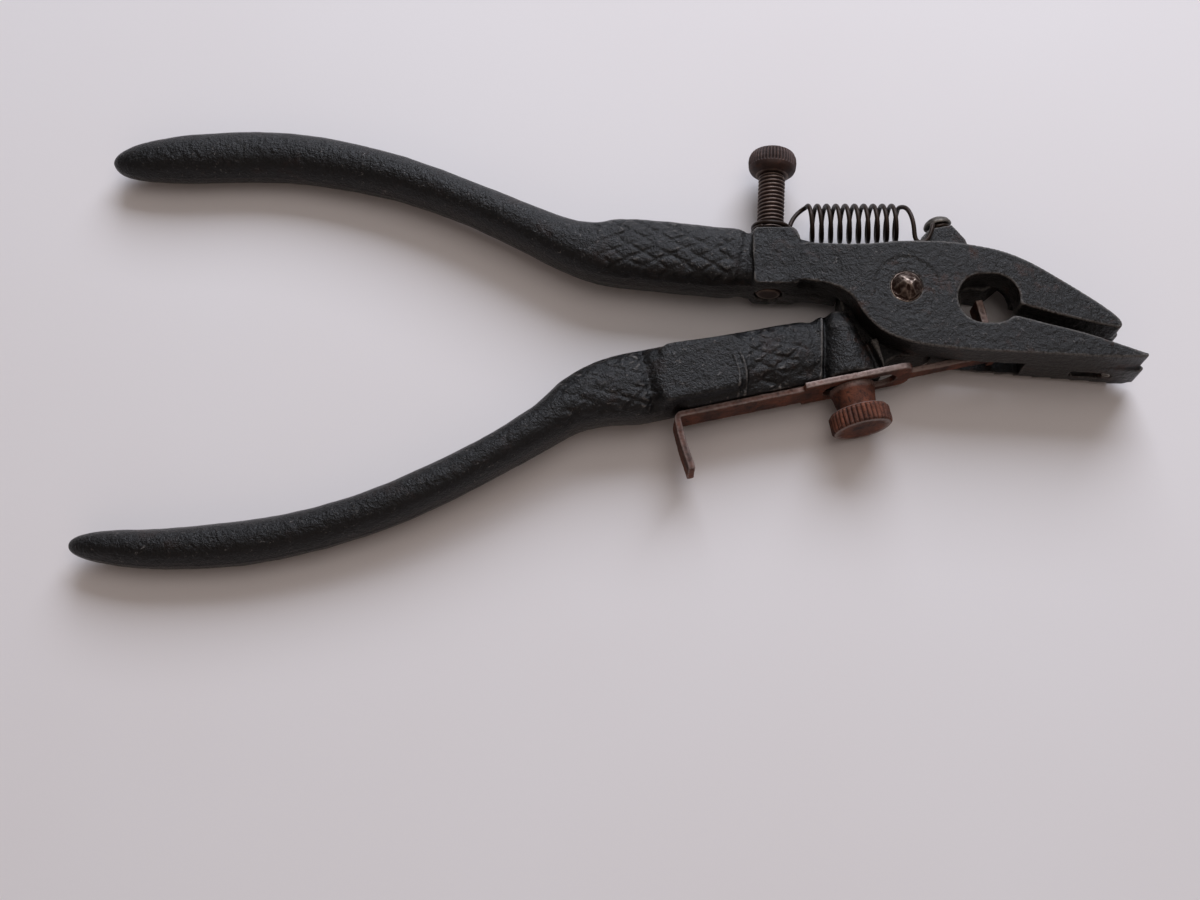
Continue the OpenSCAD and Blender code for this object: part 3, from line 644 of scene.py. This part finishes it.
def eye(centre, radius, first, last, count, lean, rise=0):
    """Points round a screw that leans by lean degrees, climbing it by rise"""
    turn = np.radians(np.linspace(first, last, count))
    lean = math.radians(lean)
    climb = np.linspace(0, rise, count)
    return np.stack([centre[0] + radius * np.cos(turn) * math.cos(lean),
        centre[1] + climb + radius * np.cos(turn) * math.sin(lean),
        centre[2] + radius * np.sin(turn)], axis=1)


turn = np.linspace(0, TURNS, 281)
coil = np.stack([-17 * MM + TURN_PITCH * MM * turn, (16.4 + COIL_RADIUS * np.cos(2 * math.pi * turn)) * MM,
    (6.6 + COIL_RADIUS * np.sin(2 * math.pi * turn)) * MM], axis=1)
route = np.vstack([MM * eye((-24, 14.3, 7.2), 3.5, -240, 360, 50, -3.3, 1.2),
    np.multiply([(-20.1, 16.6, 6.8), (-19.2, 18.3, 6.1), (-18, 19.6, 5.7)], MM), coil,
    np.multiply([(1.9, 19.1, 8.7), (2.7, 16.9, 9.6), (3.1, 14.4, 9.6), (3.1, 12.4, 9.1), (3.8, 11.3, 9),
        (5.2, 11.5, 9), (6.3, 13.2, 9), (6.75, 15, 9), (7, 15.7, 8.1)], MM),
    MM * eye((8.57, 15.75, 5.4), 1.9, 130, -150, 24, 11)])
# Even the route out, then sweep a round wire along it
for _ in range(2):
    middle = (route[:-1] + route[1:]) / 2
    corner = 0.75 * route[1:-1] + 0.125 * (route[:-2] + route[2:])
    woven = np.empty((len(middle) + len(corner), 3))
    woven[0::2], woven[1::2] = middle, corner
    route = np.vstack([route[:1], woven, route[-1:]])
step = np.linalg.norm(np.diff(route, axis=0), axis=1)
length = np.concatenate([[0], np.cumsum(step)])
even = np.arange(0, length[-1], 0.4 * MM)
route = np.stack([np.interp(even, length, column) for column in route.T], axis=1)
run = np.gradient(route, axis=0)
run /= np.linalg.norm(run, axis=1)[:, None]
side = np.zeros_like(run)
side[0] = np.cross(run[0], (0, 1, 0))
for i in range(1, len(run)):
    side[i] = side[i - 1] - run[i] * (side[i - 1] @ run[i])
    side[i] /= np.linalg.norm(side[i])
side[0] = side[1]
up = np.cross(run, side)
SIDES = 12
around = np.arange(SIDES) * 2 * math.pi / SIDES
radius = np.full(len(route), WIRE_RADIUS)
radius[[0, -1]] *= 0.55
points = (route[:, None] + radius[:, None, None] * (np.cos(around)[None, :, None] * side[:, None]
    + np.sin(around)[None, :, None] * up[:, None])).reshape(-1, 3)
count = len(route)
faces = ring_faces(count, SIDES)
faces += [tuple(range(SIDES))[::-1], tuple((count - 1) * SIDES + i for i in range(SIDES))]
mesh = bpy.data.meshes.new("return_spring_wire")
mesh.from_pydata(points.tolist(), [], faces)
mesh.materials.append(spring_wire)
mesh.shade_smooth()
spring = bpy.data.objects.new("return_spring_wire", mesh)
bpy.context.scene.collection.objects.link(spring)
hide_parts("return_spring")
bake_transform(spring)

# ---- Gauge plate ----
# Strip steel 1.2 mm thick, slotted for its clamp screw, with the tail bent down as a thumb
# tab and the tip bent up as a finger. It is rusted orange all over and worn grey on its edges;
# its front edge is painted lighter still, as a painted highlight.

rusted_strip, tree, shader, place = finish("orange_rusted_strip", Specular_IOR_Level=0.3)
wear_and_painted_light = add(tree, "ShaderNodeAttribute", attribute_name="wear_and_painted_light").outputs["Fac"]
broad = add(tree, "ShaderNodeTexNoise", {"Vector": place, "Scale": 210, "Detail": 5, "Roughness": 0.65})
fine = add(tree, "ShaderNodeTexNoise", {"Vector": place, "Scale": 1300, "Detail": 5, "Roughness": 0.75})
patch = add(tree, "ShaderNodeMapRange", {"Value": broad.outputs["Fac"], "From Min": 0.36, "From Max": 0.66})
skin = add(tree, "ShaderNodeMix", {0: patch.outputs["Result"], 6: linear("#331d17"), 7: linear("#764430")},
    data_type="RGBA")
dark = add(tree, "ShaderNodeMapRange", {"Value": fine.outputs["Fac"], "From Min": 0.5, "From Max": 0.36,
    "To Max": 0.75})
skin = add(tree, "ShaderNodeMix", {0: dark.outputs["Result"], 6: skin.outputs[2], 7: linear("#241814")},
    data_type="RGBA")
# Painted shade: the strip's hollows and pits are painted near black
painted_crevice_shade = add(tree, "ShaderNodeMapRange", {"Value": wear_and_painted_light, "From Min": 0.05, "From Max": -0.5, "To Max": 0.8})
skin = add(tree, "ShaderNodeMix", {0: painted_crevice_shade.outputs["Result"], 6: skin.outputs[2], 7: linear("#1c110d")},
    data_type="RGBA")
# Edges go grey: bare steel where the rust is worn off, and on the front edge partly a painted highlight
edge = add(tree, "ShaderNodeMath", {0: wear_and_painted_light, 1: fine.outputs["Fac"]}, operation="MULTIPLY")
edge = add(tree, "ShaderNodeMapRange", {"Value": edge.outputs[0], "From Min": 0.1, "From Max": 0.45,
    "To Max": 0.8})
colour = add(tree, "ShaderNodeMix", {0: edge.outputs["Result"], 6: skin.outputs[2], 7: linear("#8f817b")},
    data_type="RGBA")
tree.links.new(colour.outputs[2], shader.inputs["Base Color"])
bare = add(tree, "ShaderNodeMapRange", {"Value": edge.outputs["Result"], "To Max": 0.75})
tree.links.new(bare.outputs["Result"], shader.inputs["Metallic"])
dull = add(tree, "ShaderNodeMapRange", {"Value": edge.outputs["Result"], "To Min": 0.78, "To Max": 0.45})
tree.links.new(dull.outputs["Result"], shader.inputs["Roughness"])
bump = add(tree, "ShaderNodeBump", {"Height": fine.outputs["Fac"], "Strength": 0.8, "Distance": 0.00012})
tree.links.new(bump.outputs["Normal"], shader.inputs["Normal"])

gauge_frame = (Matrix.Rotation(math.radians(12), 4, "Z") @ Matrix.Translation((0, 0, 7 * MM))
    @ Matrix.Rotation(math.radians(180), 4, "X"))
mesh = fine_copy("gauge_plate", 0.16 * MM)
mesh.transform(gauge_frame.inverted())
soften(mesh, 4, 0.3)
points = positions(mesh)
# The outside of the tail's bend is round, not square
bend = 1.9 * MM
corner = points[:, :2] - (-47.5 * MM + bend, 13.5 * MM + bend)
reach = np.linalg.norm(corner, axis=1)
outside = (corner[:, 0] < 0) & (corner[:, 1] < 0) & (reach > bend)
points[outside, :2] -= corner[outside] * (1 - bend / reach[outside])[:, None]
# The tab is bent by hand, a little askew
tab = ramp(points[:, 1], 15.5 * MM, 25 * MM)
points[:, 0] += 0.5 * MM * tab * tab
move(mesh, points)
points = positions(mesh)
pit = 0.03 * grain(points, 0.5 * MM, 61) + 0.05 * grain(points, 1.8 * MM, 62)
move(mesh, points + directions(mesh) * (MM * pit)[:, None])
# The front edge, facing up into the window's light, is painted brighter as a painted highlight, most of all
# on the wide part
rubbed_and_highlit = ramp(-directions(mesh)[:, 2], 0.5, 0.9) * (0.45 + 0.55 * ramp(points[:, 0], -26 * MM, -20 * MM))
mark_wear_and_painted_light(mesh, 4, 0.08 * MM, 0.7 * rubbed_and_highlit)
mesh.transform(gauge_frame)
piece_from("gauge_plate_bent", mesh, "gauge", rusted_strip, "gauge_plate")

# ---- Gauge collar, screw and knob ----
# A loose tapered collar presses the strip down under a knurled screw. Screw and knob were
# turned together, and all three have rusted orange.

gauge_axis = (gauge_frame @ Matrix.Translation((-13.25 * MM, 13.5 * MM, 0))
    @ Matrix.Rotation(math.radians(-90), 4, "X"))
heights = np.array([1.2, 1.3, 1.5, 2.0, 2.6, 3.4, 4.2, 5.0, 5.6, 5.85, 5.95]) * MM
outline = np.array([4.15, 4.27, 4.3, 4.28, 4.12, 3.96, 3.82, 3.68, 3.6, 3.56, 3.45]) * MM
bore = 2.65 * MM
SIDES = 64
turn = np.arange(SIDES) * 2 * math.pi / SIDES
loop_r = np.concatenate([outline, [bore + 0.15 * MM, bore, bore, bore + 0.15 * MM]])
loop_h = np.concatenate([heights, [5.95 * MM, 5.8 * MM, 1.35 * MM, 1.2 * MM]])
points = np.stack([loop_r[:, None] * np.cos(turn), loop_r[:, None] * np.sin(turn),
    np.broadcast_to(loop_h[:, None], (len(loop_h), SIDES))], axis=-1).reshape(-1, 3)
rings = len(loop_h)
faces = ring_faces(rings, SIDES, closed=True)
mesh = bpy.data.meshes.new("gauge_collar_turned")
mesh.from_pydata(points.tolist(), [], faces)
mesh.transform(gauge_axis)
mesh.update()
roughen(mesh, 0.03 * MM, 0.9 * MM, 71)
mark_wear_and_painted_light(mesh, 2, 0.08 * MM)
piece_from("gauge_collar_turned", mesh, "clamp_collar", rusted_strip, "gauge_collar")

KNOB_SEAT = 6           # mm out from the strip's inner face, just past the collar
heights, radii = thread(-8.9 * MM, KNOB_SEAT * MM, STEM_RADIUS, THREAD_DEPTH)
mesh = turned(heights, radii, gauge_axis)
mark_wear_and_painted_light(mesh, 3, 0.06 * MM)
piece_from("gauge_screw_threaded", mesh, "clamp_screw", rusted_steel, "gauge_screw")

knob = [(0, 5.2), (0.25, 5.5), (0.55, 5.78), (3.3, 5.78), (3.6, 5.5), (3.78, 4.9)]
knob = [((KNOB_SEAT + h) * MM, r * MM) for h, r in knob]
mesh = knurled(knob, 38, 0.42 * MM, 6.1 * MM, 9.7 * MM, gauge_axis)
roughen(mesh, 0.03 * MM, 0.8 * MM, 72)
mark_wear_and_painted_light(mesh, 2, 0.08 * MM)
piece_from("gauge_knob_knurled", mesh, "clamp_screw", rusted_strip, "gauge_knob")
